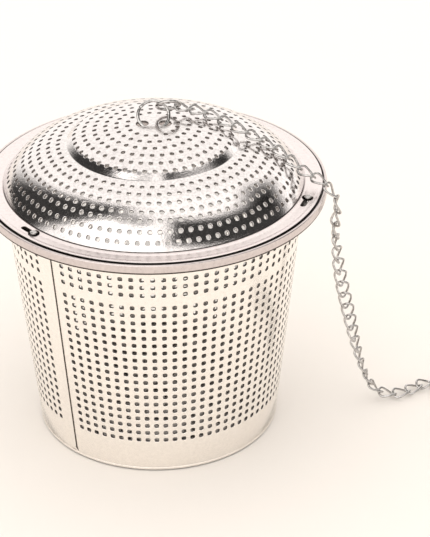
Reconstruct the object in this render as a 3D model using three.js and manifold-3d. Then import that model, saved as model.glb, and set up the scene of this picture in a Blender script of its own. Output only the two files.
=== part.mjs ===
// Tea strainer: a perforated steel basket with a twist-lock lid and a link chain.
// Millimetres, +Z up. The origin is the centre of the basket's underside.

import * as THREE from 'three';
import * as BufferGeometryUtils from 'three/addons/utils/BufferGeometryUtils.js';
import Module from 'manifold-3d';

const wasm = await Module();
wasm.setup();

// ---- driving dimensions -------------------------------------------------

const SHEET = 0.5;
const GAP = 0.3;
const TURN_STEPS = 64;
const CUT_MARGIN = 1;

const WALL_HEIGHT = 52.4;
const WALL_TOP_RADIUS = 30.5;
const WALL_BASE_RADIUS = 25;
const LAP_WIDTH = 3;
const LAP_PROUD = 0.3;
const LAP_ANGLE = 227;
const LAP_STRIP_DEPTH = 10;

const BASE_UPSTAND = 5;

const RIM_RADIUS = 35;
const RIM_FLANGE_TOP = 53.3;
const RIM_BEAD_TOP = 53.95;
const RIM_BEAD_BOTTOM = 51.9;
const RIM_BEAD_WIDTH = 0.65;
const RIM_COLLAR_DROP = 4;
const RIM_COLLAR_RADIUS = 29.25;
const RIM_EDGE_ROUND = 0.2;
const RIM_WELD_RADIUS = 31.2;
const RIM_WELD_DEPTH = 0.1;

const FLANGE_INNER_RADIUS = 28;
const FLANGE_OUTER_RADIUS = 34.05;
const FLANGE_BOTTOM = RIM_FLANGE_TOP + GAP;
const FLANGE_TOP = FLANGE_BOTTOM + SHEET;
const LIP_HEIGHT = 3.1;

const DOME_FOOT_RADIUS = 30.2;
const DOME_SHOULDER_RADIUS = 17.5;
const DOME_SHOULDER_TOP = 62.7;
const DOME_FOOT_HANDLE = [28, 58.4];
const DOME_SHOULDER_HANDLE = [23.5, 61.7];
const STEP_RADIUS = 16;
const STEP_TOP = 64.1;
const CROWN_TOP = 66.7;
const STEP_HANDLE = [12.3, 65.8];
const CROWN_HANDLE = [6, CROWN_TOP];

const LOCK_COUNT = 3;
const LOCK_FIRST_ANGLE = 342.5;
const LOCK_RADIUS = 32;
const SLOT_TURN = 6.5;
const KEYHOLE_RADIUS = 1.05;
const SLOT_HALF_WIDTH = 0.45;
const STUD_HEAD_RADIUS = 0.75;
const STUD_SHANK_RADIUS = 0.25;
const STUD_FOOT_GAP = 0.1;
const STUD_NECK_GAP = 0.15;
const STUD_HEAD_HEIGHT = 0.45;

const CROWN_HOLE_RADIUS = 1.3;
const CROWN_HOLE_LEFT = -2.1;
const CROWN_HOLE_RIGHT = 2.5;
const JUMP_RING_RADIUS = 3.1;
const JUMP_RING_WIRE = 0.33;
const JUMP_RING_SINK = 0.25;
const JUMP_RING_LEAN = 45;

const LINK_LENGTH = 4.4;
const LINK_WIDTH = 3;
const LINK_WIRE = 0.23;
const LINK_PITCH = 3.15;
const LINK_TWIST = -90;
const HEADING_BIAS = 0.3;
const HANG_START = 40;
const HANG_END = 93;
const HANG_ROLL = 90;
const CONNECTING_RING_DISTANCE = 0.9;
const FIRST_LINK_DISTANCE = 4.4;
const LAST_LINK_SETBACK = 3;
const CONNECTING_RING_RADIUS = 2.3;
const CONNECTING_RING_WIRE = 0.35;
const END_RING_RADIUS = 1.75;
const END_RING_WIRE = 0.3;

const HOOK_WIRE = 0.45;
const HOOK_EYE_RADIUS = 1.7;
const HOOK_SHANK = 9;
const HOOK_BEND_RADIUS = 3.6;
const HOOK_TIP_SETBACKS = [2.2, 3.6];
const HOOK_TIP_RISES = [0.4, 1.4];
const HOOK_TILT = 6.2;
const HOOK_HEADING = -90;
const HOOK_PLACE = [65.95, -8.7, 1.95];

// Where the chain lies: from the jump ring over the lid and the rim, down, and along
// the surface that the strainer stands on.
const CHAIN_ROUTE = [
  [2.4, 2.8, 69.3],
  [5.5, 3.9, 68.3],
  [9.1, 4.1, 67.2],
  [12.4, 2.9, 66.4],
  [15.4, 1.2, 65.5],
  [18.8, 0, 64.1],
  [21.7, -0.9, 62.65],
  [24.5, -1.8, 61.2],
  [27.2, -3, 59.4],
  [30, -4.3, 57.4],
  [32.7, -5.8, 56.3],
  [34.6, -7, 55.1],
  [36.4, -7.5, 52.1],
  [36.3, -7, 46],
  [37, -5.7, 38.6],
  [38.2, -4.3, 31],
  [39.9, -2.7, 22.8],
  [42, -1.2, 13],
  [43.7, -0.7, 7.2],
  [45.6, -0.3, 3.35],
  [48.4, -0.1, 1.3],
  [51.7, 0.4, 0.95],
  [54.8, 2.1, 0.95],
  [57.4, 3.7, 0.95],
  [60.4, 3.3, 0.95],
  [63.2, 1.1, 1],
  [65.2, -2.4, 1.25],
  [65.9, -7, 1.95],
];

const LABELS = { satin: 0xd9cfca, mirror: 0xe6e4e3, wire: 0xd2d0ce };

// ---- helpers ------------------------------------------------------------

const radians = THREE.MathUtils.degToRad;

function steel(color, roughness) {
  return new THREE.MeshStandardMaterial({ color, roughness, metalness: 1 });
}

function piece(name, geometry, color, roughness) {
  const mesh = new THREE.Mesh(geometry, steel(color, roughness));
  mesh.name = name;
  return mesh;
}

function polar(radius, degrees, height) {
  const angle = radians(degrees);
  return new THREE.Vector3(radius * Math.cos(angle), radius * Math.sin(angle), height);
}

// Turns an outline of [radius, height] points about Z.
function turned(outline, steps = TURN_STEPS) {
  const points = outline.map(([radius, height]) => new THREE.Vector2(radius, height));
  if (points[0].x > 0) points.push(points[0].clone());
  const geometry = new THREE.LatheGeometry(points, steps);
  geometry.rotateX(Math.PI / 2);
  return geometry;
}

function toSolid(geometry) {
  const bare = geometry.clone();
  bare.deleteAttribute('normal');
  bare.deleteAttribute('uv');
  const merged = BufferGeometryUtils.mergeVertices(bare, 1e-4);
  return new wasm.Manifold(new wasm.Mesh({
    numProp: 3,
    vertProperties: new Float32Array(merged.attributes.position.array),
    triVerts: new Uint32Array(merged.index.array),
  }));
}

function toGeometry(solid) {
  const mesh = solid.getMesh();
  const geometry = new THREE.BufferGeometry();
  geometry.setAttribute('position', new THREE.BufferAttribute(mesh.vertProperties, 3));
  geometry.setIndex(new THREE.BufferAttribute(mesh.triVerts, 1));
  geometry.computeVertexNormals();
  return geometry;
}

// A straight-sided post along Z between two heights.
function post(radius, bottom, top, steps = 16) {
  const geometry = new THREE.CylinderGeometry(radius, radius, top - bottom, steps);
  geometry.rotateX(Math.PI / 2);
  geometry.translate(0, 0, (top + bottom) / 2);
  return geometry;
}

// Moves each point of an outline along its normal, to the inside of the shell.
function offsetOutline(outline, distance) {
  return outline.map(([radius, height], i) => {
    const before = outline[Math.max(i - 1, 0)];
    const after = outline[Math.min(i + 1, outline.length - 1)];
    const along = new THREE.Vector2(after[0] - before[0], after[1] - before[1]).normalize();
    return [Math.max(radius - along.y * distance, 0), height + along.x * distance];
  });
}

function bezier(points, steps) {
  const curve = new THREE.CubicBezierCurve(...points.map(([x, y]) => new THREE.Vector2(x, y)));
  return curve.getPoints(steps).map((point) => [point.x, point.y]);
}

// ---- basket -------------------------------------------------------------

function wallRadius(height) {
  return WALL_BASE_RADIUS + (WALL_TOP_RADIUS - WALL_BASE_RADIUS) * height / WALL_HEIGHT;
}

// The rolled sheet, and the proud lap where its two ends are welded.
function basketWall() {
  const ring = (outer, inner) => turned([
    [WALL_BASE_RADIUS + inner, 0],
    [WALL_BASE_RADIUS + outer, 0],
    [WALL_TOP_RADIUS + outer, WALL_HEIGHT],
    [WALL_TOP_RADIUS + inner, WALL_HEIGHT],
  ]);
  const strip = new THREE.BoxGeometry(LAP_STRIP_DEPTH, LAP_WIDTH, RIM_BEAD_BOTTOM - 2 * GAP);
  strip.translate(WALL_BASE_RADIUS, 0, RIM_BEAD_BOTTOM / 2);
  strip.rotateZ(radians(LAP_ANGLE));
  const lap = toSolid(ring(LAP_PROUD, -SHEET / 2)).intersect(toSolid(strip));
  return toGeometry(toSolid(ring(0, -SHEET)).add(lap));
}

// A pressed cup whose upstand sits inside the wall.
function basketBase() {
  const outer = (height) => wallRadius(height) - SHEET - GAP;
  return turned([
    [0, 0],
    [outer(0), 0],
    [outer(BASE_UPSTAND), BASE_UPSTAND],
    [outer(BASE_UPSTAND) - SHEET, BASE_UPSTAND],
    [outer(SHEET) - SHEET, SHEET],
    [0, SHEET],
  ]);
}

// Collar inside the wall, flat seat for the lid, and the rolled outer bead. The weld
// to the wall's top edge stands a little below the rest of the flange's underside.
function basketRim() {
  const collarBottom = RIM_FLANGE_TOP - RIM_COLLAR_DROP;
  const collarInner = RIM_COLLAR_RADIUS - SHEET;
  const flangeBottom = RIM_FLANGE_TOP - SHEET;
  const weldBottom = flangeBottom - RIM_WELD_DEPTH;
  const beadInner = RIM_RADIUS - RIM_BEAD_WIDTH;
  return turned([
    [collarInner, collarBottom],
    [RIM_COLLAR_RADIUS, collarBottom],
    [RIM_COLLAR_RADIUS, weldBottom],
    [RIM_WELD_RADIUS, weldBottom],
    [RIM_WELD_RADIUS, flangeBottom],
    [beadInner, flangeBottom],
    [beadInner, RIM_BEAD_BOTTOM],
    [RIM_RADIUS - RIM_EDGE_ROUND, RIM_BEAD_BOTTOM],
    [RIM_RADIUS, RIM_BEAD_BOTTOM + 2 * RIM_EDGE_ROUND],
    [RIM_RADIUS, RIM_BEAD_TOP - 2 * RIM_EDGE_ROUND],
    [RIM_RADIUS - RIM_EDGE_ROUND, RIM_BEAD_TOP],
    [beadInner, RIM_BEAD_TOP],
    [beadInner, RIM_FLANGE_TOP],
    [collarInner, RIM_FLANGE_TOP],
  ]);
}

// A headed stud that stands on the seat and catches the lid's keyhole.
function lockStud(degrees) {
  const foot = RIM_FLANGE_TOP + STUD_FOOT_GAP;
  const neck = FLANGE_TOP + STUD_NECK_GAP;
  const geometry = turned([
    [0, foot],
    [STUD_SHANK_RADIUS, foot],
    [STUD_SHANK_RADIUS, neck],
    [STUD_HEAD_RADIUS, neck],
    [STUD_HEAD_RADIUS, neck + STUD_HEAD_HEIGHT / 2],
    [STUD_HEAD_RADIUS / 2, neck + STUD_HEAD_HEIGHT],
    [0, neck + STUD_HEAD_HEIGHT],
  ], 16);
  const place = polar(LOCK_RADIUS, degrees, 0);
  geometry.translate(place.x, place.y, 0);
  return geometry;
}

// ---- lid ----------------------------------------------------------------

function domeOutline() {
  const lower = bezier([
    [DOME_FOOT_RADIUS, FLANGE_TOP + GAP],
    DOME_FOOT_HANDLE,
    DOME_SHOULDER_HANDLE,
    [DOME_SHOULDER_RADIUS, DOME_SHOULDER_TOP],
  ], 8);
  const upper = bezier([
    [STEP_RADIUS, STEP_TOP],
    STEP_HANDLE,
    CROWN_HANDLE,
    [0, CROWN_TOP],
  ], 7);
  return [...lower, ...upper];
}

// The two-tier dome, with the two crown holes that the jump ring goes through.
function lidDome() {
  const outer = domeOutline();
  const inner = offsetOutline(outer, SHEET).reverse();
  inner[0][0] = 0;
  inner[inner.length - 1][1] = outer[0][1];
  let dome = toSolid(turned([...inner, ...outer]));
  for (const x of [CROWN_HOLE_LEFT, CROWN_HOLE_RIGHT]) {
    const drillBottom = CROWN_TOP - SHEET - 2 * CUT_MARGIN;
    const drill = post(CROWN_HOLE_RADIUS, drillBottom, CROWN_TOP + CUT_MARGIN);
    drill.translate(x, 0, 0);
    dome = dome.subtract(toSolid(drill));
  }
  return toGeometry(dome);
}

// The flat ring round the dome, cut by the keyholes that the studs stand in.
function lidFlange() {
  let flange = toSolid(turned([
    [FLANGE_INNER_RADIUS, FLANGE_BOTTOM],
    [FLANGE_OUTER_RADIUS, FLANGE_BOTTOM],
    [FLANGE_OUTER_RADIUS, FLANGE_TOP],
    [FLANGE_INNER_RADIUS, FLANGE_TOP],
  ]));
  for (let i = 0; i < LOCK_COUNT; i += 1) {
    const degrees = LOCK_FIRST_ANGLE + i * 360 / LOCK_COUNT;
    flange = flange.subtract(keyhole(degrees));
  }
  return toGeometry(flange);
}

// A round entry at the given angle, and the narrow slot that runs back from it.
function keyhole(degrees) {
  const bottom = FLANGE_BOTTOM - CUT_MARGIN;
  const entry = post(KEYHOLE_RADIUS, bottom, FLANGE_TOP + CUT_MARGIN);
  const place = polar(LOCK_RADIUS, degrees, 0);
  entry.translate(place.x, place.y, 0);
  const slot = new THREE.Shape();
  const start = radians(degrees - SLOT_TURN);
  const end = radians(degrees);
  slot.absarc(0, 0, LOCK_RADIUS + SLOT_HALF_WIDTH, start, end, false);
  slot.absarc(0, 0, LOCK_RADIUS - SLOT_HALF_WIDTH, end, start, true);
  const cut = new THREE.ExtrudeGeometry(slot, {
    depth: SHEET + 2 * CUT_MARGIN, bevelEnabled: false, curveSegments: 4,
  });
  cut.translate(0, 0, bottom);
  return toSolid(entry).add(toSolid(cut));
}

// The plain ring under the flange that centres the lid in the rim's collar.
function lidLip() {
  const top = FLANGE_BOTTOM - GAP;
  return turned([
    [FLANGE_INNER_RADIUS, top - LIP_HEIGHT],
    [FLANGE_INNER_RADIUS + SHEET, top - LIP_HEIGHT],
    [FLANGE_INNER_RADIUS + SHEET, top],
    [FLANGE_INNER_RADIUS, top],
  ]);
}

// ---- chain --------------------------------------------------------------

// A wire ring in the plane of two unit vectors.
function wireRing(centre, along, across, radius, wire, steps) {
  const geometry = new THREE.TorusGeometry(radius, wire, 6, steps);
  return placed(geometry, centre, along, across);
}

// Sets a geometry's X and Y on two unit vectors, and its origin on the centre.
function placed(geometry, centre, along, across) {
  const normal = new THREE.Vector3().crossVectors(along, across);
  const frame = new THREE.Matrix4().makeBasis(along, across, normal);
  geometry.applyMatrix4(frame.setPosition(centre));
  return geometry;
}

function jumpRing() {
  const middle = (CROWN_HOLE_LEFT + CROWN_HOLE_RIGHT) / 2;
  const half = (CROWN_HOLE_RIGHT - CROWN_HOLE_LEFT) / 2;
  const rise = Math.sqrt(JUMP_RING_RADIUS ** 2 - half ** 2) - JUMP_RING_SINK;
  const lean = radians(JUMP_RING_LEAN);
  const up = new THREE.Vector3(0, Math.sin(lean), Math.cos(lean));
  const centre = new THREE.Vector3(middle, 0, CROWN_TOP - SHEET / 2).addScaledVector(up, rise);
  const along = new THREE.Vector3(1, 0, 0);
  return wireRing(centre, along, up, JUMP_RING_RADIUS, JUMP_RING_WIRE, 20);
}

const route = new THREE.CatmullRomCurve3(CHAIN_ROUTE.map((point) => new THREE.Vector3(...point)));
const routeLength = route.getLength();
const lastLinkDistance = routeLength - LAST_LINK_SETBACK;
const linkCount = Math.round((lastLinkDistance - FIRST_LINK_DISTANCE) / LINK_PITCH) + 1;

// The frame of a link: along the chain, and rolled about it by the given angle.
// The heading's bias keeps the side vector steady where the chain hangs plumb.
function chainFrame(distance, roll) {
  const share = distance / routeLength;
  const along = route.getTangentAt(share);
  const side = new THREE.Vector3(-along.y, along.x + HEADING_BIAS, 0);
  side.addScaledVector(along, -side.dot(along)).normalize();
  const across = side.applyAxisAngle(along, radians(roll));
  return { centre: route.getPointAt(share), along, across };
}

// The chain lies flat on the lid and on the ground, and turns edge on between them.
function chainRoll(distance) {
  const share = THREE.MathUtils.clamp((distance - HANG_START) / (HANG_END - HANG_START), 0, 1);
  return HANG_ROLL * Math.sin(Math.PI * share) ** 2;
}

// A curb link: an oval of wire, twisted so that its two ends stand at right angles.
function chainLink(index) {
  const share = index / (linkCount - 1);
  const distance = THREE.MathUtils.lerp(FIRST_LINK_DISTANCE, lastLinkDistance, share);
  const radius = LINK_WIDTH / 2 - LINK_WIRE;
  const stretch = (LINK_LENGTH - LINK_WIDTH) / 2;
  const geometry = new THREE.TorusGeometry(radius, LINK_WIRE, 6, 14);
  const position = geometry.attributes.position;
  const point = new THREE.Vector3();
  const axis = new THREE.Vector3(1, 0, 0);
  for (let i = 0; i < position.count; i += 1) {
    point.fromBufferAttribute(position, i);
    point.x += Math.sign(point.x) * stretch;
    point.applyAxisAngle(axis, radians(LINK_TWIST) * point.x / LINK_LENGTH);
    position.setXYZ(i, point.x, point.y, point.z);
  }
  const { centre, along, across } = chainFrame(distance, chainRoll(distance));
  return placed(geometry, centre, along, across);
}

function connectingRing() {
  const { centre, along, across } = chainFrame(CONNECTING_RING_DISTANCE, LINK_TWIST / 2);
  return wireRing(centre, along, across, CONNECTING_RING_RADIUS, CONNECTING_RING_WIRE, 18);
}

function endRing() {
  const { centre, along, across } = chainFrame(routeLength, -LINK_TWIST / 2);
  return wireRing(centre, along, across, END_RING_RADIUS, END_RING_WIRE, 14);
}

// A wire hook with a closed eye, lying beyond the end ring.
function hook() {
  const points = [];
  for (let degrees = -20; degrees <= 270; degrees += 29) {
    points.push(polar(HOOK_EYE_RADIUS, degrees, 0));
  }
  points.push(new THREE.Vector3(HOOK_SHANK / 2, -HOOK_EYE_RADIUS, 0));
  for (let degrees = -90; degrees <= 90; degrees += 30) {
    const bend = polar(HOOK_BEND_RADIUS, degrees, 0);
    bend.x += HOOK_SHANK;
    bend.y += HOOK_BEND_RADIUS - HOOK_EYE_RADIUS;
    points.push(bend);
  }
  const tip = 2 * HOOK_BEND_RADIUS - HOOK_EYE_RADIUS;
  HOOK_TIP_SETBACKS.forEach((setback, i) => {
    points.push(new THREE.Vector3(HOOK_SHANK - setback, tip + HOOK_TIP_RISES[i], 0));
  });
  const section = new THREE.Shape();
  section.absarc(0, 0, HOOK_WIRE, 0, 2 * Math.PI, false);
  return new THREE.ExtrudeGeometry(section, {
    steps: 48, curveSegments: 8, bevelEnabled: false,
    extrudePath: new THREE.CatmullRomCurve3(points),
  });
}

// ---- assembly -----------------------------------------------------------

const group = new THREE.Group();

group.add(piece('basket_wall', basketWall(), LABELS.satin, 0.3));
group.add(piece('basket_base', basketBase(), LABELS.satin, 0.3));
group.add(piece('basket_rim', basketRim(), LABELS.satin, 0.35));
for (let i = 0; i < LOCK_COUNT; i += 1) {
  const degrees = LOCK_FIRST_ANGLE + i * 360 / LOCK_COUNT;
  group.add(piece(`lock_stud_${i + 1}`, lockStud(degrees), LABELS.mirror, 0.2));
}
group.add(piece('lid_lip', lidLip(), LABELS.satin, 0.3));
group.add(piece('lid_flange', lidFlange(), LABELS.satin, 0.35));
group.add(piece('lid_dome', lidDome(), LABELS.mirror, 0.12));
group.add(piece('jump_ring', jumpRing(), LABELS.wire, 0.2));
group.add(piece('connecting_ring', connectingRing(), LABELS.wire, 0.2));

for (let i = 0; i < linkCount; i += 1) {
  const name = `chain_link_${String(i + 1).padStart(2, '0')}`;
  group.add(piece(name, chainLink(i), LABELS.wire, 0.2));
}
group.add(piece('end_ring', endRing(), LABELS.wire, 0.2));

const hookPiece = piece('hook', hook(), LABELS.wire, 0.2);
hookPiece.position.set(...HOOK_PLACE);
hookPiece.rotation.set(radians(HOOK_TILT), 0, radians(HOOK_HEADING));
group.add(hookPiece);

export default group;
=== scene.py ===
import math

import bpy
import numpy as np
from mathutils import Euler, Matrix, Vector
from mathutils.geometry import delaunay_2d_cdt


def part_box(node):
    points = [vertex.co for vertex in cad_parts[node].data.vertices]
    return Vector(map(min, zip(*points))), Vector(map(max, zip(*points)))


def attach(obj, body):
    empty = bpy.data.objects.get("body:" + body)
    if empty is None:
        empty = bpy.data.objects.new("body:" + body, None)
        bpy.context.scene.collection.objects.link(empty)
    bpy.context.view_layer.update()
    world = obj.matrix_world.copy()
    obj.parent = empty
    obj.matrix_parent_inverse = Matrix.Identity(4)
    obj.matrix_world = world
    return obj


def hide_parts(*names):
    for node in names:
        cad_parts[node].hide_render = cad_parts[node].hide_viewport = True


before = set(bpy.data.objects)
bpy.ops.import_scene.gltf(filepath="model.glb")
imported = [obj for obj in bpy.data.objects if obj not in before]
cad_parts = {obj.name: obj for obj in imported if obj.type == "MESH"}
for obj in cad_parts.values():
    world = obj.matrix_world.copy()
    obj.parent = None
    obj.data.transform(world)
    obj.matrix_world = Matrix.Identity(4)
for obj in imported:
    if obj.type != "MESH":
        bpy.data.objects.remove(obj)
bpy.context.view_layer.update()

# The tea strainer's surfaces: perforated sheet with real holes, the rolled rim, the
# keyhole flange, the rings, the curb chain and the hook. Lengths are in millimetres
# and are scaled to metres where a mesh or an object is made.

MM = 0.001
SHEET = 0.5
EDGE_ROUND = 0.12
TURN_STEPS = 240


def node_box(name):
    """A node's lowest and highest corners, in millimetres."""
    low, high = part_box(name)
    return np.array(low) / MM, np.array(high) / MM


# ---- driving dimensions ----------------------------------------------------

WALL_TOP = node_box("basket_wall")[1][2]
WALL_TOP_RADIUS = node_box("basket_wall")[1][0]
WALL_BASE_RADIUS = 25
WALL_TURN_STEPS = 128
HEM_HEIGHT = 0.55
HEM_GROOVE_DEPTH = 0.07
HEM_BANDS = (0.08, 0.16, 0.35, 0.55, 0.62, 0.69, 0.76, 0.83)
LAP_ANGLE = 227
LAP_PROUD = 0.2
LAP_RAMP = 1.3

HOLE = 0.97
DOME_HOLE = 0.86
HOLE_CORNER = 0.3
HOLE_EDGE = 0.13
HOLE_EDGE_SINK = 0.05
WALL_COLUMNS = 86
WALL_MARGIN_AFTER_LAP = 2.4
WALL_MARGIN_BEFORE_LAP = 4.2
UPPER_ROWS = (47.8, 46.0, 44.1)
LOWER_ROW_TOP = 41.0
LOWER_ROW_PITCH = 1.84
LOWER_ROW_COUNT = 19

# The dome's outline, as (radius, height): the crown's curve, the step, and the curve
# from the shoulder down to the foot.
DOME_FOOT = node_box("lid_dome")[0][2]
CROWN_TOP = node_box("lid_dome")[1][2]
CROWN_CURVE = ((0, CROWN_TOP), (6, CROWN_TOP), (12.3, 65.8), (16.0, 64.1))
STEP_FOOT = (17.5, 62.72)
SHOULDER_CURVE = ((18.2, 62.6), (23.5, 61.7), (28.0, 58.4), (30.25, DOME_FOOT - 0.14))
DOME_RING_RADII = (29.35, 28.0, 26.3, 24.85, 23.1, 21.1, 19.1, 15.9, 13.9, 11.7, 9.5, 7.3, 5.1)
DOME_STEP_SPAN = (16.1, 18.7)
DOME_HOLE_PITCH = 1.98
DOME_PHASE_STEP = 0.37
FREE_POINT_PITCH = 1.1
CROWN_HOLE_RADIUS = 1.3
CROWN_HOLES = (-2.1, 2.5)

BASE_RINGS = tuple(2.4 + 2.15 * i for i in range(10))
BASE_CORNER = 1.2

RIM_RADIUS = node_box("basket_rim")[1][0]
RIM_TOP = node_box("basket_rim")[1][2]
RIM_SEAT = 53.3
RIM_COLLAR_RADII = (28.75, 29.25)
RIM_BEAD_WIDTH = 0.65
RIM_BEAD_BOTTOM = 51.9
RIM_CORNER = 0.3
FLANGE_TOP = node_box("lid_flange")[1][2]
FLANGE_RADIUS = node_box("lid_flange")[1][0]
# The fillet at the dome's foot and the bead near the edge, as (radius, rise).
FLANGE_FILLET = ((30.4, 0), (30.6, 0.2), (31.05, 0.16), (31.4, 0))
FLANGE_BEAD = ((33.15, 0), (33.4, 0.1), (33.9, 0.1), (FLANGE_RADIUS, 0))
LIP_RADIUS = 28

STUD_NAMES = ("lock_stud_1", "lock_stud_2", "lock_stud_3")
STUD_FOOT_RADIUS = 0.5
STUD_SHANK_RADIUS = 0.27
STUD_NECK = 0.85
STUD_HEAD_EDGE = 0.22
KEYHOLE_RADIUS = 1.05
SLOT_HALF_WIDTH = 0.45
SLOT_ANGLE = 6.5

LINK_LENGTH = 4.4
LINK_WIDTH = 3.0
LINK_WIRE = 0.24
LINK_TWIST = -90
LINKS_OVER_LID = 11
LINKS_HANGING = 16
LINKS_ON_GROUND = 10
HEADING_BIAS = 0.3
HANG_START = 40
HANG_END = 93
HANG_ROLL = 90
CONNECTING_RING_DISTANCE = 0.9
CONNECTING_RING_RADIUS = 2.3
CONNECTING_RING_WIRE = 0.35
FIRST_LINK_DISTANCE = 4.4
LAST_LINK_SETBACK = 3.0
END_RING_RADIUS = 1.75
END_RING_WIRE = 0.3
JUMP_RING_RADIUS = 3.1
JUMP_RING_WIRE = 0.33
JUMP_RING_SINK = 0.25
JUMP_RING_LEAN = 45

HOOK_WIRE = 0.45
HOOK_EYE_RADIUS = 1.7
HOOK_SHANK = 9
HOOK_BEND_RADIUS = 3.6
HOOK_TILT = 6.2
HOOK_HEADING = -90
HOOK_PLACE = (65.95, -8.7, 1.95)

# The chain's route, the same as its solids', in metres.
CHAIN_ROUTE = [
    (0.0024, 0.0028, 0.0693),
    (0.0055, 0.0039, 0.0683),
    (0.0091, 0.0041, 0.0672),
    (0.0124, 0.0029, 0.0664),
    (0.0154, 0.0012, 0.0655),
    (0.0188, 0.0, 0.0641),
    (0.0217, -0.0009, 0.06265),
    (0.0245, -0.0018, 0.0612),
    (0.0272, -0.003, 0.0594),
    (0.03, -0.0043, 0.0574),
    (0.0327, -0.0058, 0.0563),
    (0.0346, -0.007, 0.0551),
    (0.0364, -0.0075, 0.0521),
    (0.0363, -0.007, 0.046),
    (0.037, -0.0057, 0.0386),
    (0.0382, -0.0043, 0.031),
    (0.0399, -0.0027, 0.0228),
    (0.042, -0.0012, 0.013),
    (0.0437, -0.0007, 0.0072),
    (0.0456, -0.0003, 0.00335),
    (0.0484, -0.0001, 0.0013),
    (0.0517, 0.0004, 0.00095),
    (0.0548, 0.0021, 0.00095),
    (0.0574, 0.0037, 0.00095),
    (0.0604, 0.0033, 0.00095),
    (0.0632, 0.0011, 0.001),
    (0.0652, -0.0024, 0.00125),
    (0.0659, -0.007, 0.00195),
]


# ---- camera ----------------------------------------------------------------

CAMERA_TARGET = Vector((0, 0, 0.028))
CAMERA_DISTANCE = 0.5
CAMERA_ELEVATION = math.radians(30.63)
CAMERA_TRIM = Euler([math.radians(angle) for angle in (0.508, -1.390, -1.343)])
CAMERA_LENS = 161.5


def make_camera():
    camera = bpy.data.objects.new("camera", bpy.data.cameras.new("camera"))
    camera.data.lens = CAMERA_LENS
    camera.data.clip_start = 0.01
    away = Vector((0, -math.cos(CAMERA_ELEVATION), math.sin(CAMERA_ELEVATION)))
    tilt = Matrix.Rotation(math.pi / 2 - CAMERA_ELEVATION, 4, "X")
    aimed = tilt @ CAMERA_TRIM.to_matrix().to_4x4()
    camera.matrix_world = Matrix.Translation(CAMERA_TARGET + CAMERA_DISTANCE * away) @ aimed
    bpy.context.scene.collection.objects.link(camera)
    bpy.context.scene.camera = camera


make_camera()


# ---- materials -------------------------------------------------------------

class Nodes:
    """Adds linked nodes to one material or world."""

    def __init__(self, tree):
        self.tree = tree

    def add(self, kind, **settings):
        node = self.tree.nodes.new(kind)
        for name, value in settings.items():
            setattr(node, name, value)
        return node

    def link(self, source, target):
        self.tree.links.new(source, target)
        return target

    def feed(self, socket, value):
        if isinstance(value, bpy.types.NodeSocket):
            self.link(value, socket)
        else:
            socket.default_value = value

    def math(self, operation, *values):
        node = self.add("ShaderNodeMath", operation=operation)
        for socket, value in zip(node.inputs, values):
            self.feed(socket, value)
        return node.outputs[0]

    def noise(self, vector, scale, detail=2.0):
        node = self.add("ShaderNodeTexNoise")
        node.inputs["Scale"].default_value = scale
        node.inputs["Detail"].default_value = detail
        self.link(vector, node.inputs["Vector"])
        return node.outputs["Fac"]

    def spread(self, value, low, high):
        node = self.add("ShaderNodeMapRange")
        node.inputs["From Min"].default_value = 0.3
        node.inputs["From Max"].default_value = 0.7
        node.inputs["To Min"].default_value = low
        node.inputs["To Max"].default_value = high
        self.link(value, node.inputs["Value"])
        return node.outputs["Result"]


# Stands for the light that many bounces bring inside the basket, where the render's
# few bounces leave the back of the sheets too dark. It fades out toward the base and
# under the lid: each pair is a height with none of it and a height with all of it.
INNER_GLOW = 0.45
GLOW_HEIGHTS = ((0.015, 0.026), (0.044, 0.036))


TURNED_LINES = 5200
DRAWN_LINES = 3600
LINE_SHARE = 0.55
MARK_DEPTH = 0.00002


def steel(name, light, dark, roughness, marks, polish, grain):
    """Stainless steel. marks is how strongly its turned or rolled polish marks show,
    polish says how they run, "turned" round the Z axis or "drawn" every way, and grain
    is how fine its cloudiness is."""
    material = bpy.data.materials.new(name)
    material.use_nodes = True
    tree = material.node_tree
    shader = tree.nodes["Principled BSDF"]
    shader.inputs["Metallic"].default_value = 1.0
    nodes = Nodes(tree)
    place = nodes.add("ShaderNodeTexCoord").outputs["Object"]
    if polish == "turned":
        parts = nodes.add("ShaderNodeSeparateXYZ")
        nodes.link(place, parts.inputs[0])
        x, y, z = parts.outputs
        squares = nodes.math("ADD", nodes.math("MULTIPLY", x, x), nodes.math("MULTIPLY", y, y))
        ring = nodes.add("ShaderNodeCombineXYZ")
        nodes.link(nodes.math("SQRT", squares), ring.inputs[0])
        nodes.link(z, ring.inputs[1])
        lines = nodes.noise(ring.outputs[0], TURNED_LINES, 3.0)
    else:
        lines = nodes.noise(place, DRAWN_LINES, 3.0)
    cloud = nodes.noise(place, grain, 3.0)
    fine = nodes.math("MULTIPLY", lines, LINE_SHARE)
    coarse = nodes.math("MULTIPLY", cloud, 1 - LINE_SHARE)
    mixed = nodes.math("ADD", fine, coarse)
    nodes.link(nodes.spread(mixed, roughness * 0.75, roughness * 1.3), shader.inputs["Roughness"])
    tone = nodes.add("ShaderNodeMix", data_type="RGBA")
    tone.inputs["A"].default_value = (*dark, 1)
    tone.inputs["B"].default_value = (*light, 1)
    nodes.link(nodes.spread(cloud, 0.0, 1.0), tone.inputs["Factor"])
    nodes.link(tone.outputs["Result"], shader.inputs["Base Color"])
    bump = nodes.add("ShaderNodeBump")
    bump.inputs["Strength"].default_value = marks
    bump.inputs["Distance"].default_value = MARK_DEPTH
    nodes.link(mixed, bump.inputs["Height"])
    nodes.link(bump.outputs["Normal"], shader.inputs["Normal"])
    return material


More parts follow.
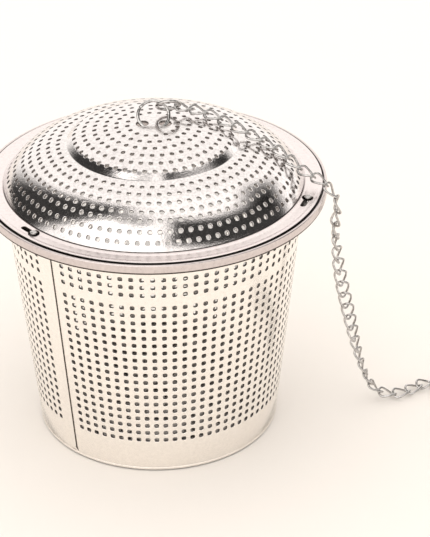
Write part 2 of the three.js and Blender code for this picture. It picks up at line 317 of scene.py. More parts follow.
STEELS = {
    name: steel(name, *look) for name, look in {
        "basket_steel": ((0.98, 0.94, 0.89), (0.90, 0.86, 0.81), 0.2, 0.35, "drawn", 1500),
        "rim_steel": ((0.80, 0.73, 0.72), (0.72, 0.655, 0.645), 0.3, 0.25, "turned", 1500),
        "bead_steel": ((0.69, 0.62, 0.605), (0.60, 0.54, 0.53), 0.3, 0.3, "turned", 1500),
        "lid_steel": ((0.82, 0.78, 0.77), (0.62, 0.585, 0.58), 0.12, 1.0, "drawn", 1800),
        "stud_steel": ((0.55, 0.53, 0.52), (0.42, 0.40, 0.39), 0.16, 0.2, "drawn", 2500),
        "wire_steel": ((0.66, 0.64, 0.63), (0.32, 0.31, 0.30), 0.07, 0.2, "drawn", 2500),
        # Dark steel for the punched holes' walls and the rim's seat: partly the rough punched edge,
        # partly painted shade in the holes and under the flange.
        "shaded_punched_steel": ((0.34, 0.32, 0.31), (0.20, 0.19, 0.18), 0.34, 0.4, "drawn", 2500),
        "pressed_steel": ((0.62, 0.59, 0.58), (0.42, 0.40, 0.39), 0.3, 0.3, "drawn", 2500),
        # Near-black steel for painted shade: the sheets' cut edges, the lap's step, the bead's underside
        # and the keyholes.
        "painted_shade_steel": ((0.11, 0.09, 0.08), (0.06, 0.05, 0.045), 0.5, 0.2, "drawn", 2500),
        "inner_steel": ((0.80, 0.77, 0.74), (0.68, 0.65, 0.62), 0.4, 0.2, "drawn", 1500),
        # Darkened steel for the base's top face: painted shade inside the basket.
        "shaded_base_steel": ((0.42, 0.40, 0.38), (0.30, 0.28, 0.27), 0.3, 0.2, "drawn", 1500),
    }.items()
}


def light_inside(material):
    shader = material.node_tree.nodes["Principled BSDF"]
    shader.inputs["Metallic"].default_value = 0.6
    shader.inputs["Emission Color"].default_value = (1.0, 0.965, 0.92, 1)
    nodes = Nodes(material.node_tree)
    place = nodes.add("ShaderNodeSeparateXYZ")
    nodes.link(nodes.add("ShaderNodeTexCoord").outputs["Object"], place.inputs[0])
    glow = INNER_GLOW
    for none, full in GLOW_HEIGHTS:
        share = nodes.add("ShaderNodeMapRange", interpolation_type="SMOOTHSTEP")
        nodes.link(place.outputs[2], share.inputs["Value"])
        share.inputs["From Min"].default_value = none
        share.inputs["From Max"].default_value = full
        glow = nodes.math("MULTIPLY", share.outputs["Result"], glow)
    nodes.link(glow, shader.inputs["Emission Strength"])


light_inside(STEELS["inner_steel"])


# ---- mesh helpers ----------------------------------------------------------

def add_piece(name, points, faces, body, replaced, looks, normals=None, sides=None):
    mesh = bpy.data.meshes.new(name)
    mesh.from_pydata((np.asarray(points) * MM).tolist(), [], faces)
    for look in looks:
        mesh.materials.append(STEELS[look])
    mesh.polygons.foreach_set("use_smooth", [True] * len(mesh.polygons))
    if sides is not None:
        mesh.polygons.foreach_set("material_index", sides)
    if normals is not None:
        mesh.normals_split_custom_set(normals)
    mesh.update()
    piece = bpy.data.objects.new(name, mesh)
    bpy.context.scene.collection.objects.link(piece)
    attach(piece, body)
    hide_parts(*replaced)
    return piece


def round_corners(outline, radius, steps=4, closed=False):
    """Replaces an outline's inner corners by short curves."""
    points = [np.array(point, float) for point in outline]
    count = len(points)
    rounded = []
    for i, corner in enumerate(points):
        if not closed and i in (0, count - 1):
            rounded.append(corner)
            continue
        before = points[i - 1] - corner
        after = points[(i + 1) % count] - corner
        reach = min(radius, np.linalg.norm(before) / 2.05, np.linalg.norm(after) / 2.05)
        start = corner + before / np.linalg.norm(before) * reach
        end = corner + after / np.linalg.norm(after) * reach
        for t in np.linspace(0, 1, steps + 1):
            rounded.append((1 - t) ** 2 * start + 2 * t * (1 - t) * corner + t ** 2 * end)
    return np.array(rounded)


def bezier(points, steps):
    a, b, c, d = [np.array(point, float) for point in points]
    t = np.linspace(0, 1, steps + 1)[:, None]
    return (1 - t) ** 3 * a + 3 * (1 - t) ** 2 * t * b + 3 * (1 - t) * t ** 2 * c + t ** 3 * d


def turned(outline, steps=TURN_STEPS, start=0.0):
    """Points and faces of a closed outline of (radius, height) turned about Z."""
    count = len(outline)
    angles = start + np.arange(steps) * 2 * np.pi / steps
    radius, height = np.asarray(outline).T
    ring = [np.stack([radius * np.cos(a), radius * np.sin(a), height], 1) for a in angles]
    faces = []
    for i in range(steps):
        j = (i + 1) % steps
        for k in range(count):
            m = (k + 1) % count
            faces.append((i * count + k, j * count + k, j * count + m, i * count + m))
    return np.concatenate(ring), faces


def smooth_by_angle(piece, degrees):
    """Keeps edges sharper than the given angle crisp."""
    with bpy.context.temp_override(object=piece, active_object=piece, selected_objects=[piece]):
        bpy.ops.object.shade_smooth_by_angle(angle=math.radians(degrees))


class Profile:
    """An outline from the inside out, measured by its length. near is its start's
    distance from the middle of the flat pattern that the holes are laid out on."""

    def __init__(self, outline, near, side=1, step=0.1, ease=3):
        points = np.asarray(outline, float)
        lengths = np.linalg.norm(np.diff(points, axis=0), axis=1)
        along = np.concatenate([[0], np.cumsum(lengths)])
        self.length = along[-1]
        self.near = near
        self.at = np.linspace(0, self.length, int(self.length / step) + 1)
        line = np.stack([np.interp(self.at, along, points[:, k]) for k in (0, 1)], 1)
        for _ in range(ease):
            line[1:-1] = (line[:-2] + 2 * line[1:-1] + line[2:]) / 4
        slope = np.gradient(line, self.at, axis=0)
        slope /= np.linalg.norm(slope, axis=1)[:, None]
        self.line = line
        self.normal = side * np.stack([-slope[:, 1], slope[:, 0]], 1)

    def place(self, reach):
        reach = np.asarray(reach) - self.near
        radius, height = [np.interp(reach, self.at, self.line[:, k]) for k in (0, 1)]
        out, up = [np.interp(reach, self.at, self.normal[:, k]) for k in (0, 1)]
        return radius, height, out, up

    def reach_of(self, value, column):
        """The reach at which the outline comes to a radius (0) or a height (1)."""
        line = self.line[:, column]
        order = np.argsort(line)
        return self.near + float(np.interp(value, line[order], self.at[order]))


def square_hole(profile, reach, angle, size):
    """A rounded square about a point of the sheet, as a loop of (reach, angle)."""
    radius = float(profile.place(reach)[0])
    half = size / 2 - HOLE_CORNER
    loop = []
    for quarter in range(4):
        turn = quarter * np.pi / 2
        middle = np.array([half, half])
        for step in (0, 0.5, 1):
            bend = step * np.pi / 2
            across, along = middle + HOLE_CORNER * np.array([np.cos(bend), np.sin(bend)])
            u = across * np.cos(turn) - along * np.sin(turn)
            v = across * np.sin(turn) + along * np.cos(turn)
            loop.append((reach + v, angle + u / radius))
    return np.array(loop)


def flat_place(points):
    """Where points of (reach, angle) lie in the flat pattern."""
    return np.stack([points[:, 0] * np.cos(points[:, 1]), points[:, 0] * np.sin(points[:, 1])], 1)


def grown(hole):
    """A hole's loop, moved outward all round by the width of its rounded edge."""
    flat = flat_place(hole)
    along = np.roll(flat, -1, 0) - np.roll(flat, 1, 0)
    along /= np.linalg.norm(along, axis=1)[:, None]
    outward = np.stack([along[:, 1], -along[:, 0]], 1)
    if np.sum(outward * (flat - flat.mean(0))) < 0:
        outward = -outward
    moved = flat + outward * HOLE_EDGE
    return np.stack([np.linalg.norm(moved, axis=1), np.arctan2(moved[:, 1], moved[:, 0])], 1)


def ring_points(reach, count, phase=0.0):
    angles = phase + np.arange(count) * 2 * np.pi / count
    return np.stack([np.full(count, reach), angles], 1)


# The looks of a sheet's faces, in the order of its materials.
OUTER_LOOK, HOLE_LOOK, INNER_LOOK, CUT_LOOK = range(4)


def pressed_sheet(name, profile, holes, rings, body, node, looks, lap=None, dark_edges=False):
    """A sheet of the given profile with real holes: an outer and an inner surface,
    joined by the walls of the holes and by the sheet's cut edges. rings are extra
    (reach, count) circles of points. looks are the steels of the outer surface and of
    the walls of the holes. lap gives the sheet's offset by angle. dark_edges gives the
    holes' rounded edges the look of their walls."""
    flat, owner, triangles = sheet_pattern(profile, holes, rings, lap)
    count = len(holes)
    points, faces, normals, sides = sheet_layers(profile, flat, owner, triangles, count, lap, dark_edges)
    # The cut edges get the near-black steel: painted shade along every cut edge.
    looks = [*looks, "inner_steel", "painted_shade_steel"]
    add_piece(name, points, faces, body, [node], looks, normals, sides)


def sheet_pattern(profile, holes, rings, lap):
    """The sheet's flat pattern: its points as (reach, angle), the hole or edge that
    each lies on or -1, and its triangles."""
    loops = list(holes)
    collars = [grown(hole) for hole in holes]
    last = profile.near + profile.length
    edge_count = max(count for _, count in rings)
    loops.append(ring_points(last, edge_count))
    if profile.near > 0:
        loops.append(ring_points(profile.near, edge_count))
    free = [ring_points(reach, count) for reach, count in rings]
    if lap is not None:
        free.extend(lap.lines(profile))
    free = clear_of_holes(np.concatenate(free), holes)
    flat = np.concatenate(loops + collars + [free])
    sizes = [len(loop) for loop in loops]
    owner = np.full(len(flat), -1)
    owner[:sum(sizes)] = np.repeat(np.arange(len(loops)), sizes)
    edges = []
    first = 0
    for loop in loops + collars:
        count = len(loop)
        edges.extend((first + i, first + (i + 1) % count) for i in range(count))
        first += count
    places = [Vector(place) for place in flat_place(flat)]
    made, _, triangles, origin, _, _ = delaunay_2d_cdt(places, edges, [], 0, 1e-7)
    source = np.array([ids[0] for ids in origin])
    flat = flat[source]
    owner = owner[source]
    corners = np.array(made)
    triangles = np.array(triangles)
    owners = owner[triangles]
    open_space = (owners[:, 0] >= 0) & (owners[:, 0] == owners[:, 1]) & (owners[:, 1] == owners[:, 2])
    open_space &= owners[:, 0] != len(holes)
    triangles = triangles[~open_space]
    a, b, c = corners[triangles[:, 0]], corners[triangles[:, 1]], corners[triangles[:, 2]]
    area = (b[:, 0] - a[:, 0]) * (c[:, 1] - a[:, 1]) - (b[:, 1] - a[:, 1]) * (c[:, 0] - a[:, 0])
    if profile.normal[0][1] < 0:
        area = -area
    triangles[area < 0] = triangles[area < 0][:, ::-1]
    return flat, owner, triangles


def clear_of_holes(points, holes):
    """Drops the free points that lie in or too near a hole."""
    for hole in holes:
        loop = flat_place(grown(grown(hole)))
        x, y = flat_place(points).T
        inside = np.zeros(len(points), bool)
        for (x0, y0), (x1, y1) in zip(loop, np.roll(loop, -1, 0)):
            if y0 != y1:
                inside ^= ((y0 > y) != (y1 > y)) & (x < x0 + (y - y0) * (x1 - x0) / (y1 - y0))
        points = points[~inside]
    return points


def sheet_layers(profile, flat, owner, triangles, hole_count, lap, dark_edges):
    """The sheet's points, faces, corner normals and each face's look."""
    radius, height, out, up = profile.place(flat[:, 0])
    angle = flat[:, 1]
    cos, sin = np.cos(angle), np.sin(angle)
    zero = np.zeros(len(flat))
    proud, lean = lap.offset(angle, radius) if lap is not None else (zero, zero)
    normal = np.stack([out * cos + lean * sin, out * sin - lean * cos, up], 1)
    normal /= np.linalg.norm(normal, axis=1)[:, None]
    straight = np.stack([out * cos, out * sin, up], 1)
    outer = np.stack([radius * cos, radius * sin, height], 1) + straight * proud[:, None]
    inner = outer - straight * SHEET
    round_hole_edges(owner, hole_count, outer, normal, straight)
    count = len(outer)
    points = np.concatenate([outer, inner])
    faces = [tuple(t) for t in triangles.tolist()]
    faces += [(c + count, b + count, a + count) for a, b, c in triangles.tolist()]
    normals = [normal[triangles.ravel()], -normal[triangles[:, ::-1].ravel()]]
    on_hole = ((owner[triangles] >= 0) & (owner[triangles] < hole_count)).any(1)
    edge_look = HOLE_LOOK if dark_edges else OUTER_LOOK
    sides = np.where(on_hole, edge_look, OUTER_LOOK).tolist() + [INNER_LOOK] * len(triangles)
    # The lap's cut edge is drawn in the near-black steel: a painted shadow line along the step.
    if lap is not None:
        for i in cut_edge(normals[0], points, triangles, proud):
            sides[i] = CUT_LOOK
    walls = [(b, a, a + count, b + count) for a, b in open_edges(triangles)]
    corners = np.array(walls)
    across = points[corners[:, 1]] - points[corners[:, 0]]
    down = points[corners[:, 3]] - points[corners[:, 0]]
    wall_normal = np.cross(across, down)
    wall_normal /= np.linalg.norm(wall_normal, axis=1)[:, None]
    faces += walls
    sides += [HOLE_LOOK if owner[wall[0]] < hole_count else CUT_LOOK for wall in walls]
    normals.append(np.repeat(wall_normal, 4, axis=0))
    return points, faces, np.concatenate(normals).tolist(), sides


def open_edges(triangles):
    """The edges that only one triangle has, each in that triangle's direction."""
    times = {}
    direction = {}
    for a, b, c in triangles.tolist():
        for pair in ((a, b), (b, c), (c, a)):
            key = frozenset(pair)
            times[key] = times.get(key, 0) + 1
            direction[key] = pair
    return [direction[key] for key, count in times.items() if count == 1]


def round_hole_edges(owner, hole_count, outer, normal, straight):
    """Sinks the outer layer's points on the holes, and turns their normals inward."""
    for i in range(hole_count):
        edge = np.nonzero(owner == i)[0]
        inward = outer[edge].mean(0) - outer[edge]
        inward /= np.linalg.norm(inward, axis=1)[:, None]
        turned_in = normal[edge] + inward
        normal[edge] = turned_in / np.linalg.norm(turned_in, axis=1)[:, None]
        outer[edge] -= straight[edge] * HOLE_EDGE_SINK


def cut_edge(normals, points, triangles, proud):
    """Gives the faces of the lap's cut edge their own flat normals, and lists them."""
    heights = proud[triangles]
    step = np.nonzero(heights.max(1) - heights.min(1) > LAP_PROUD * 0.95)[0]
    for i in step:
        a, b, c = points[triangles[i]]
        flat_normal = np.cross(b - a, c - a)
        normals[3 * i:3 * i + 3] = flat_normal / np.linalg.norm(flat_normal)
    return step


class Lap:
    """The joint of the rolled wall: the sheet's end lies on its start, and is cut
    off square at one angle."""

    def __init__(self, degrees, proud, ramp):
        self.angle = math.radians(degrees)
        self.proud = proud
        self.ramp = ramp

    def offset(self, angle, radius):
        away = ((self.angle - angle + np.pi) % (2 * np.pi) - np.pi) * radius
        share = np.clip(away / self.ramp, 0, 1)
        ease = share * share * (3 - 2 * share)
        on = away > -1e-6
        proud = np.where(on, self.proud * (1 - ease), 0)
        fall = self.proud * 6 * share * (1 - share) / self.ramp
        slope = np.where(on & (away < self.ramp), fall, 0)
        return proud, slope

    def lines(self, profile):
        reaches = np.linspace(profile.near, profile.near + profile.length, 26)[1:-1]
        radius = profile.place(reaches)[0]
        away = (-0.6, -0.012, 0, 0.3, 0.65, 1.0, 1.35)
        return [np.stack([reaches, self.angle - step / radius], 1) for step in away]


# ---- basket ----------------------------------------------------------------

def wall_profile():
    slope = (WALL_TOP_RADIUS - WALL_BASE_RADIUS) / WALL_TOP
    hem_radius = WALL_BASE_RADIUS + slope * HEM_HEIGHT
    outline = [
        (WALL_BASE_RADIUS - 0.12, 0.0),
        (WALL_BASE_RADIUS + 0.02, 0.16),
        (hem_radius, HEM_HEIGHT),
        (hem_radius - HEM_GROOVE_DEPTH, HEM_HEIGHT + 0.14),
        (hem_radius, HEM_HEIGHT + 0.28),
        (WALL_TOP_RADIUS, WALL_TOP),
    ]
    return Profile(outline, WALL_BASE_RADIUS, side=-1, step=0.05, ease=1)


def wall_holes(profile):
    lap = math.radians(LAP_ANGLE)
    middle = (WALL_BASE_RADIUS + WALL_TOP_RADIUS) / 2
    start = lap + WALL_MARGIN_AFTER_LAP / middle
    end = lap + 2 * math.pi - WALL_MARGIN_BEFORE_LAP / middle
    columns = np.linspace(start, end, WALL_COLUMNS)
    lower = [LOWER_ROW_TOP - LOWER_ROW_PITCH * i for i in range(LOWER_ROW_COUNT)]
    holes = []
    for height in (*UPPER_ROWS, *lower):
        reach = profile.reach_of(height, 1)
        holes.extend(square_hole(profile, reach, angle, HOLE) for angle in columns)
    return holes


def make_wall():
    profile = wall_profile()
    rings = [(profile.near + height, WALL_TURN_STEPS) for height in HEM_BANDS]
    # The holes' walls get the dark punched steel: partly the rough punched edge, partly painted shade in
    # the holes.
    pressed_sheet(
        "perforated_wall", profile, wall_holes(profile), rings, "basket", "basket_wall",
        ["basket_steel", "shaded_punched_steel"], Lap(LAP_ANGLE, LAP_PROUD, LAP_RAMP),
    )


def ring_holes(profile, radii, size):
    """Rings of square holes, each ring turned a little from the next."""
    holes = []
    for i, radius in enumerate(radii):
        reach = profile.reach_of(radius, 0)
        count = round(2 * math.pi * radius / DOME_HOLE_PITCH)
        for angle in ring_points(reach, count, i * DOME_PHASE_STEP)[:, 1]:
            holes.append(square_hole(profile, reach, angle, size))
    return holes


def make_base():
    foot_radius = node_box("basket_base")[1][0] - SHEET - 0.55
    top = node_box("basket_base")[1][2]
    outline = [(0, SHEET), (foot_radius, SHEET), (foot_radius + 0.5, top)]
    profile = Profile(round_corners(outline, BASE_CORNER, 8), 0)
    rings = [(radius + DOME_HOLE_PITCH / 2, 96) for radius in BASE_RINGS[2:]]
    rings += [(foot_radius - 0.9 + 0.3 * i, 192) for i in range(8)] + [(profile.length - 0.8, 192)]
    holes = ring_holes(profile, BASE_RINGS, HOLE)
    # The top face gets darkened steel, painted shade inside the basket; the holes' walls get the dark
    # punched steel, partly painted shade.
    pressed_sheet(
        "perforated_base", profile, holes, rings, "basket", "basket_base",
        ["shaded_base_steel", "shaded_punched_steel"],
    )


def make_rim():
    collar_in, collar_out = RIM_COLLAR_RADII
    collar_low = node_box("basket_rim")[0][2]
    bead = RIM_RADIUS - RIM_BEAD_WIDTH
    under = RIM_SEAT - SHEET
    outline = [
        (collar_in, collar_low),
        (collar_out, collar_low),
        (collar_out, under),
        (bead - 0.02, under),
        (bead + 0.02, RIM_BEAD_BOTTOM),
        (RIM_RADIUS - 0.12, RIM_BEAD_BOTTOM),
        (RIM_RADIUS, RIM_BEAD_BOTTOM + 0.4),
        (RIM_RADIUS, RIM_TOP),
        (bead + 0.02, RIM_TOP),
        (bead - 0.02, RIM_SEAT),
        (collar_in, RIM_SEAT),
    ]
    steps = 5
    rounded = round_corners(outline, RIM_CORNER, steps, closed=True)
    points, faces = turned(rounded)
    # Each corner of the outline has become steps + 1 points. The bead's underside
    # starts at corner 4, and the seat lies between corners 9 and 10. The underside is
    # drawn in near-black steel as a painted shadow line under the bead, and the seat in
    # dark punched steel as painted shade under the flange.
    corner = steps + 1
    shaded = range(4 * corner, 6 * corner + 3)
    seat = range(10 * corner - 1, 10 * corner)
    places = [i % len(rounded) for i in range(len(faces))]
    sides = [1 if place in shaded else 2 if place in seat else 0 for place in places]
    rim = add_piece(
        "rolled_rim", points, faces, "basket", ["basket_rim"],
        ["bead_steel", "painted_shade_steel", "shaded_punched_steel"], sides=sides,
    )
    smooth_by_angle(rim, 40)


def make_stud(name):
    low, high = node_box(name)
    middle = (low + high) / 2
    head = (high[0] - low[0]) / 2
    foot = low[2]
    neck = foot + STUD_NECK
    outline = [
        (0.001, foot - 0.1),
        (STUD_FOOT_RADIUS, foot - 0.1),
        (STUD_SHANK_RADIUS, foot + 0.1),
        (STUD_SHANK_RADIUS, neck),
        (head, neck + 0.03),
        (head, neck + 0.03 + STUD_HEAD_EDGE),
        (head * 0.55, high[2]),
        (0.001, high[2]),
    ]
    points, faces = turned(round_corners(outline, EDGE_ROUND, 4, closed=True), 32)
    points = points + (middle[0], middle[1], 0)
    head_name = name.replace("lock_", "") + "_head"
    stud = add_piece(head_name, points, faces, "basket", [name], ["stud_steel"])
    smooth_by_angle(stud, 40)


# ---- lid -------------------------------------------------------------------

def dome_profile():
    """From the crown out and down to the foot."""
    upper = bezier(CROWN_CURVE, 40)
    lower = bezier(SHOULDER_CURVE, 60)
    return Profile(np.concatenate([upper, [STEP_FOOT], lower]), 0, step=0.06, ease=7)


def round_hole(x, y, radius, steps=32):
    """A drilled hole near the crown, where the sheet is as good as flat."""
    turn = np.arange(steps) * 2 * np.pi / steps
    across = x + radius * np.cos(turn)
    along = y + radius * np.sin(turn)
    return np.stack([np.hypot(across, along), np.arctan2(along, across)], 1)


def make_dome():
    profile = dome_profile()
    holes = ring_holes(profile, DOME_RING_RADII, DOME_HOLE)
    holes += [round_hole(x, 0, CROWN_HOLE_RADIUS) for x in CROWN_HOLES]
    rings = []
    radii = sorted(DOME_RING_RADII)
    for inner, outer in zip(radii, radii[1:]):
        if outer - inner < 2.5:
            count = 4 * round(math.pi * outer / (2 * FREE_POINT_PITCH))
            rings.append((profile.reach_of((inner + outer) / 2, 0), count))
    step_start, step_end = [profile.reach_of(radius, 0) for radius in DOME_STEP_SPAN]
    rings += [(reach, 160) for reach in np.arange(step_start + 0.65, step_end - 0.35, 0.16)]
    rings += [(profile.length - gap, TURN_STEPS) for gap in (0.12, 0.25, 0.4)]
    rings.append((4.3, 40))
    pressed_sheet(
        "perforated_dome", profile, holes, rings, "lid", "lid_dome",
        ["lid_steel", "pressed_steel"],
    )


def keyhole(degrees, radius):
    """The round entry and the slot that runs back from it, as one loop."""
    loop = []
    meet = math.asin(SLOT_HALF_WIDTH / KEYHOLE_RADIUS)
    middle = math.radians(degrees)
    for bend in np.linspace(meet - math.pi, math.pi - meet, 25):
        across = KEYHOLE_RADIUS * math.sin(bend)
        along = KEYHOLE_RADIUS * math.cos(bend)
        loop.append((radius + across, middle + along / radius))
    end = middle - math.radians(SLOT_ANGLE) + SLOT_HALF_WIDTH / radius
    for angle in np.linspace(middle - 1.2 / radius, end, 6):
        loop.append((radius + SLOT_HALF_WIDTH, angle))
    for bend in np.linspace(0, math.pi, 9)[1:-1]:
        across = SLOT_HALF_WIDTH * math.cos(bend)
        along = -SLOT_HALF_WIDTH * math.sin(bend)
        loop.append((radius + across, end + along / radius))
    for angle in np.linspace(end, middle - 1.2 / radius, 6):
        loop.append((radius - SLOT_HALF_WIDTH, angle))
    return np.array(loop)


def make_flange():
    start = LIP_RADIUS
    relief = ((start, 0), *FLANGE_FILLET, *FLANGE_BEAD)
    outline = [(radius, FLANGE_TOP + rise) for radius, rise in relief]
    profile = Profile(round_corners(outline, 0.3, 6), start, ease=2, step=0.04)
    holes = []
    for name in STUD_NAMES:
        low, high = node_box(name)
        x, y = ((low + high) / 2)[:2]
        holes.append(keyhole(math.degrees(math.atan2(y, x)), math.hypot(x, y)))
    reaches = [start + 0.8, start + 1.6, start + 2.2]
    reaches += list(np.arange(start + 2.4, profile.near + profile.length - 0.05, 0.1))
    rings = [(reach, TURN_STEPS) for reach in reaches]
    # The keyholes' walls and rounded edges get the near-black steel: painted shade in the keyholes.
    pressed_sheet(
        "keyhole_flange", profile, holes, rings, "lid", "lid_flange",
        ["rim_steel", "painted_shade_steel"], dark_edges=True,
    )


def make_lip():
    bottom, top = [corner[2] for corner in node_box("lid_lip")]
    outside = LIP_RADIUS + SHEET
    outline = [(LIP_RADIUS, bottom), (outside, bottom), (outside, top), (LIP_RADIUS, top)]
    points, faces = turned(round_corners(outline, EDGE_ROUND, 3, closed=True))
    lip = add_piece("centring_lip", points, faces, "lid_carrier", ["lid_lip"], ["rim_steel"])
    smooth_by_angle(lip, 40)


# ---- rings, chain and hook -------------------------------------------------

def wire_tube(centres, guide, radius, sections, first, closed=True, widths=None):
    """Points and faces of a round wire along centres. guide is a vector for each
    centre that is never along the wire."""
    count = len(centres)
    if closed:
        tangent = np.roll(centres, -1, 0) - np.roll(centres, 1, 0)
    else:
        tangent = np.gradient(centres, axis=0)
    tangent /= np.linalg.norm(tangent, axis=1)[:, None]
    side = np.cross(guide, tangent)
    side /= np.linalg.norm(side, axis=1)[:, None]
    other = np.cross(tangent, side)
    widths = np.ones(count) if widths is None else widths
    points = []
    for turn in np.arange(sections) * 2 * np.pi / sections:
        reach = (radius * widths)[:, None]
        points.append(centres + reach * (math.cos(turn) * side + math.sin(turn) * other))
    points = np.stack(points, 1).reshape(-1, 3)
    faces = []
    for i in range(count if closed else count - 1):
        j = (i + 1) % count
        for k in range(sections):
            m = (k + 1) % sections
            faces.append((first + i * sections + k, first + i * sections + m,
                          first + j * sections + m, first + j * sections + k))
    if not closed:
        faces.append(tuple(first + k for k in range(sections)))
        faces.append(tuple(first + (count - 1) * sections + k for k in reversed(range(sections))))
    return points, faces


def seam_widths(count, depth):
    """The wire's thickness round a ring, with the fine gap where its ends meet."""
    widths = np.ones(count)
    widths[0] = 1 - depth
    return widths


def ring_of_wire(name, centre, along, across, radius, wire, body, replaced):
    turn = np.arange(72) * 2 * np.pi / 72
    circle = np.outer(np.cos(turn), along) + np.outer(np.sin(turn), across)
    normal = np.cross(along, across)
    guide = np.repeat(normal[None], len(turn), 0)
    widths = seam_widths(len(turn), 0.3)
    points, faces = wire_tube(centre + radius * circle, guide, wire, 14, 0, widths=widths)
    return add_piece(name, points, faces, body, [replaced], ["wire_steel"])


def catmull_rom(points, steps):
    """A centripetal curve through the points, with even steps within each span."""
    points = np.asarray(points, float)
    ends = [2 * points[0] - points[1], 2 * points[-1] - points[-2]]
    line = np.concatenate([ends[:1], points, ends[1:]])
    t = (np.arange(steps) / steps)[:, None]
    made = []
    for p0, p1, p2, p3 in zip(line, line[1:], line[2:], line[3:]):
        d0, d1, d2 = [math.sqrt(np.linalg.norm(b - a)) for a, b in ((p0, p1), (p1, p2), (p2, p3))]
        m1 = ((p1 - p0) / d0 - (p2 - p0) / (d0 + d1) + (p2 - p1) / d1) * d1
        m2 = ((p2 - p1) / d1 - (p3 - p1) / (d1 + d2) + (p3 - p2) / d2) * d1
        square = 3 * (p2 - p1) - 2 * m1 - m2
        cube = 2 * (p1 - p2) + m1 + m2
        made.append(p1 + m1 * t + square * t ** 2 + cube * t ** 3)
    made.append(points[-1:])
    return np.concatenate(made)


class Chain:
    """The route, measured by its length in millimetres."""

    def __init__(self):
        self.line = catmull_rom(np.array(CHAIN_ROUTE) / MM, 40)
        steps = np.linalg.norm(np.diff(self.line, axis=0), axis=1)
        self.at = np.concatenate([[0], np.cumsum(steps)])
        self.length = self.at[-1]
        self.links = LINKS_OVER_LID + LINKS_HANGING + LINKS_ON_GROUND
        last = self.length - LAST_LINK_SETBACK
        self.distances = np.linspace(FIRST_LINK_DISTANCE, last, self.links)
        self.pitch = self.distances[1] - self.distances[0]

    def point(self, distance):
        return np.array([np.interp(distance, self.at, self.line[:, k]) for k in range(3)])

    def frame(self, distance, roll):
        ahead = self.point(min(distance + 0.05, self.length))
        behind = self.point(max(distance - 0.05, 0))
        along = (ahead - behind) / np.linalg.norm(ahead - behind)
        side = np.array([-along[1], along[0] + HEADING_BIAS, 0])
        side -= along * (side @ along)
        side /= np.linalg.norm(side)
        turn = math.radians(roll)
        across = side * math.cos(turn) + np.cross(along, side) * math.sin(turn)
        return self.point(distance), along, across

    def roll(self, distance):
        share = min(max((distance - HANG_START) / (HANG_END - HANG_START), 0), 1)
        return HANG_ROLL * math.sin(math.pi * share) ** 2


def link_points(chain, index, first):
    """One curb link: an oval of wire, twisted a quarter turn from end to end."""
    distance = chain.distances[index]
    centre, along, across = chain.frame(distance, chain.roll(distance))
    normal = np.cross(along, across)
    radius = LINK_WIDTH / 2 - LINK_WIRE
    stretch = (LINK_LENGTH - LINK_WIDTH) / 2
    turn = (np.arange(44) + 0.5) * 2 * np.pi / 44 + np.pi / 2
    x = radius * np.cos(turn) + np.clip(np.cos(turn) * 4, -1, 1) * stretch
    y = radius * np.sin(turn)
    bend = math.radians(LINK_TWIST) * x / LINK_LENGTH
    twisted = np.stack([x, y * np.cos(bend), y * np.sin(bend)], 1)
    guide = np.stack([np.zeros_like(x), -np.sin(bend), np.cos(bend)], 1)
    basis = np.stack([along, across, normal])
    widths = seam_widths(len(turn), 0.14)
    return wire_tube(centre + twisted @ basis, guide @ basis, LINK_WIRE, 10, first, widths=widths)


def make_links(chain, name, start, count, body):
    points, faces = [], []
    for index in range(start, start + count):
        made, sides = link_points(chain, index, sum(len(p) for p in points))
        points.append(made)
        faces.extend(sides)
    points = np.concatenate(points)
    replaced = [f"chain_link_{index + 1:02d}" for index in range(start, start + count)]
    return add_piece(name, points, faces, body, replaced, ["wire_steel"])


def make_hook():
    points = []
    for degrees in range(-20, 271, 29):
        turn = math.radians(degrees)
        points.append((HOOK_EYE_RADIUS * math.cos(turn), HOOK_EYE_RADIUS * math.sin(turn), 0))
    points.append((HOOK_SHANK / 2, -HOOK_EYE_RADIUS, 0))
    for degrees in range(-90, 91, 30):
        turn = math.radians(degrees)
        points.append((
            HOOK_SHANK + HOOK_BEND_RADIUS * math.cos(turn),
            HOOK_BEND_RADIUS - HOOK_EYE_RADIUS + HOOK_BEND_RADIUS * math.sin(turn),
            0,
        ))
    tip = 2 * HOOK_BEND_RADIUS - HOOK_EYE_RADIUS
    points.append((HOOK_SHANK - 2.2, tip + 0.4, 0))
    points.append((HOOK_SHANK - 3.6, tip + 1.4, 0))
    line = catmull_rom(points, 8)
    tips = np.array([0.35, 0.68, 0.88, 0.97])
    widths = np.ones(len(line))
    widths[:4] = tips
    widths[-4:] = tips[::-1]
    guide = np.repeat(np.array([[0.0, 0.0, 1.0]]), len(line), 0)
    made, faces = wire_tube(line, guide, HOOK_WIRE, 16, 0, closed=False, widths=widths)
    tilt = Matrix.Rotation(math.radians(HOOK_TILT), 3, "X")
    turn = tilt @ Matrix.Rotation(math.radians(HOOK_HEADING), 3, "Z")
    made = made @ np.array(turn).T + HOOK_PLACE
    return add_piece("end_hook", made, faces, "hook", ["hook"], ["wire_steel"])


def make_jump_ring():
    middle = sum(CROWN_HOLES) / 2
    half = (CROWN_HOLES[1] - CROWN_HOLES[0]) / 2
    rise = math.sqrt(JUMP_RING_RADIUS ** 2 - half ** 2) - JUMP_RING_SINK
    lean = math.radians(JUMP_RING_LEAN)
    up = np.array([0, math.sin(lean), math.cos(lean)])
    centre = np.array([middle, 0, CROWN_TOP - SHEET / 2]) + up * rise
    along = np.array([math.cos(2.6), 0, 0]) + up * math.sin(2.6)
    across = np.cross(np.cross(np.array([1.0, 0, 0]), up), along)
    ring_of_wire(
        "crown_ring", centre, along, across, JUMP_RING_RADIUS, JUMP_RING_WIRE, "jump_ring", "jump_ring",
    )


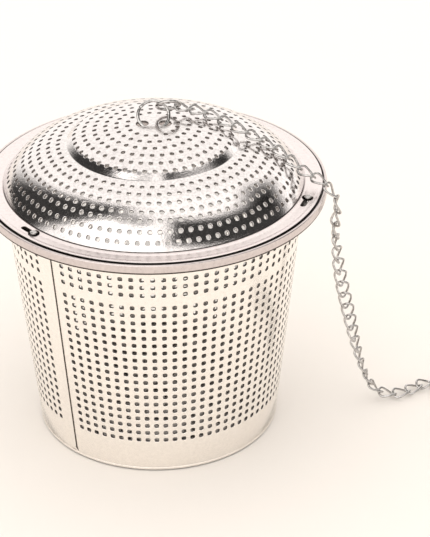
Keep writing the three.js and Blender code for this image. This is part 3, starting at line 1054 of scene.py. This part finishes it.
def make_chain():
    chain = Chain()
    centre, along, across = chain.frame(CONNECTING_RING_DISTANCE, LINK_TWIST / 2)
    link_ring = ring_of_wire(
        "link_ring", centre, along * 0.6 + across * 0.8, across * 0.6 - along * 0.8,
        CONNECTING_RING_RADIUS, CONNECTING_RING_WIRE, "chain_over_lid", "connecting_ring",
    )
    centre, along, across = chain.frame(chain.length, -LINK_TWIST / 2)
    last_ring = ring_of_wire(
        "last_ring", centre, across, -along,
        END_RING_RADIUS, END_RING_WIRE, "chain_on_table", "end_ring",
    )
    end_hook = make_hook()
    over = make_links(chain, "links_over_lid", 0, LINKS_OVER_LID, "chain_over_lid")
    hanging = make_links(chain, "links_hanging", LINKS_OVER_LID, LINKS_HANGING, "chain_hanging")
    ground = make_links(
        chain, "links_on_ground", LINKS_OVER_LID + LINKS_HANGING, LINKS_ON_GROUND, "chain_on_table"
    )


make_chain()
make_wall()
make_base()
make_rim()
for stud_name in STUD_NAMES:
    make_stud(stud_name)
make_lip()
make_flange()
make_dome()
make_jump_ring()


# ---- studio ----------------------------------------------------------------

FLOOR_SIZE = 3.0
FLOOR_GAP = 0.0002
STUDIO = (1.0, 0.975, 0.94)
STUDIO_STRENGTH = 1.5
CARD_EDGE = 7
# Cards round the strainer, that only reflections see: the azimuth and elevation of the
# middle, the half length and half height, the turn, all in degrees, and how dark it
# is. The last two are a dim back wall and a lamp.
CARDS = (
    (-107, 31, 22, 50, -25, 0.97),
    (66, 36, 54, 21, -24, 0.97),
    (114, 36, 15, 12, 0, 0.85),
    (-45, 72, 38, 6, 0, 0.75),
    (180, 35, 42, 40, 0, 0.1),
    (-35, 44, 38, 18, 0, -0.4),
)


def make_floor():
    mesh = bpy.data.meshes.new("floor")
    half = FLOOR_SIZE / 2
    corners = [(-half, -half, 0), (half, -half, 0), (half, half, 0), (-half, half, 0)]
    mesh.from_pydata(corners, [], [(0, 1, 2, 3)])
    floor = bpy.data.objects.new("floor", mesh)
    floor.location.z = -FLOOR_GAP
    bpy.context.scene.collection.objects.link(floor)
    material = bpy.data.materials.new("floor")
    material.use_nodes = True
    shader = material.node_tree.nodes["Principled BSDF"]
    shader.inputs["Base Color"].default_value = (0.785, 0.740, 0.698, 1)
    shader.inputs["Roughness"].default_value = 0.7
    shader.inputs["Specular IOR Level"].default_value = 0.2
    mesh.materials.append(material)


def card_mask(nodes, azimuth, elevation, card):
    """One in the middle of a card, zero outside, with a soft edge."""
    middle, height, half_length, half_height, turn = [math.radians(value) for value in card]
    soft = math.radians(CARD_EDGE)
    away = nodes.math("WRAP", nodes.math("SUBTRACT", azimuth, middle), math.pi, -math.pi)
    above = nodes.math("SUBTRACT", elevation, height)
    mask = 1.0
    for first, second, half in (
        (math.cos(turn), math.sin(turn), half_length),
        (-math.sin(turn), math.cos(turn), half_height),
    ):
        sideways = nodes.math("MULTIPLY", away, first)
        upward = nodes.math("MULTIPLY", above, second)
        value = nodes.math("ADD", sideways, upward)
        room = nodes.math("SUBTRACT", half, nodes.math("ABSOLUTE", value))
        share = nodes.add("ShaderNodeMapRange", interpolation_type="SMOOTHSTEP")
        nodes.link(room, share.inputs["Value"])
        share.inputs["From Min"].default_value = -soft
        share.inputs["From Max"].default_value = soft
        mask = nodes.math("MULTIPLY", share.outputs["Result"], mask)
    return mask


def make_world():
    world = bpy.data.worlds.new("studio")
    bpy.context.scene.world = world
    world.use_nodes = True
    nodes = Nodes(world.node_tree)
    background = world.node_tree.nodes["Background"]
    background.inputs["Color"].default_value = (*STUDIO, 1)
    parts = nodes.add("ShaderNodeSeparateXYZ")
    nodes.link(nodes.add("ShaderNodeTexCoord").outputs["Generated"], parts.inputs[0])
    x, y, z = parts.outputs
    azimuth = nodes.math("ARCTAN2", x, nodes.math("MULTIPLY", y, -1.0))
    elevation = nodes.math("ARCSINE", z)
    mirrored = nodes.add("ShaderNodeLightPath").outputs["Is Glossy Ray"]
    strength = STUDIO_STRENGTH
    for *card, darkness in CARDS:
        mask = nodes.math("MULTIPLY", card_mask(nodes, azimuth, elevation, card), mirrored)
        bright = nodes.math("SUBTRACT", 1.0, nodes.math("MULTIPLY", mask, darkness))
        strength = nodes.math("MULTIPLY", bright, strength)
    nodes.link(strength, background.inputs["Strength"])


make_floor()
make_world()
bpy.context.scene.view_settings.view_transform = "Standard"
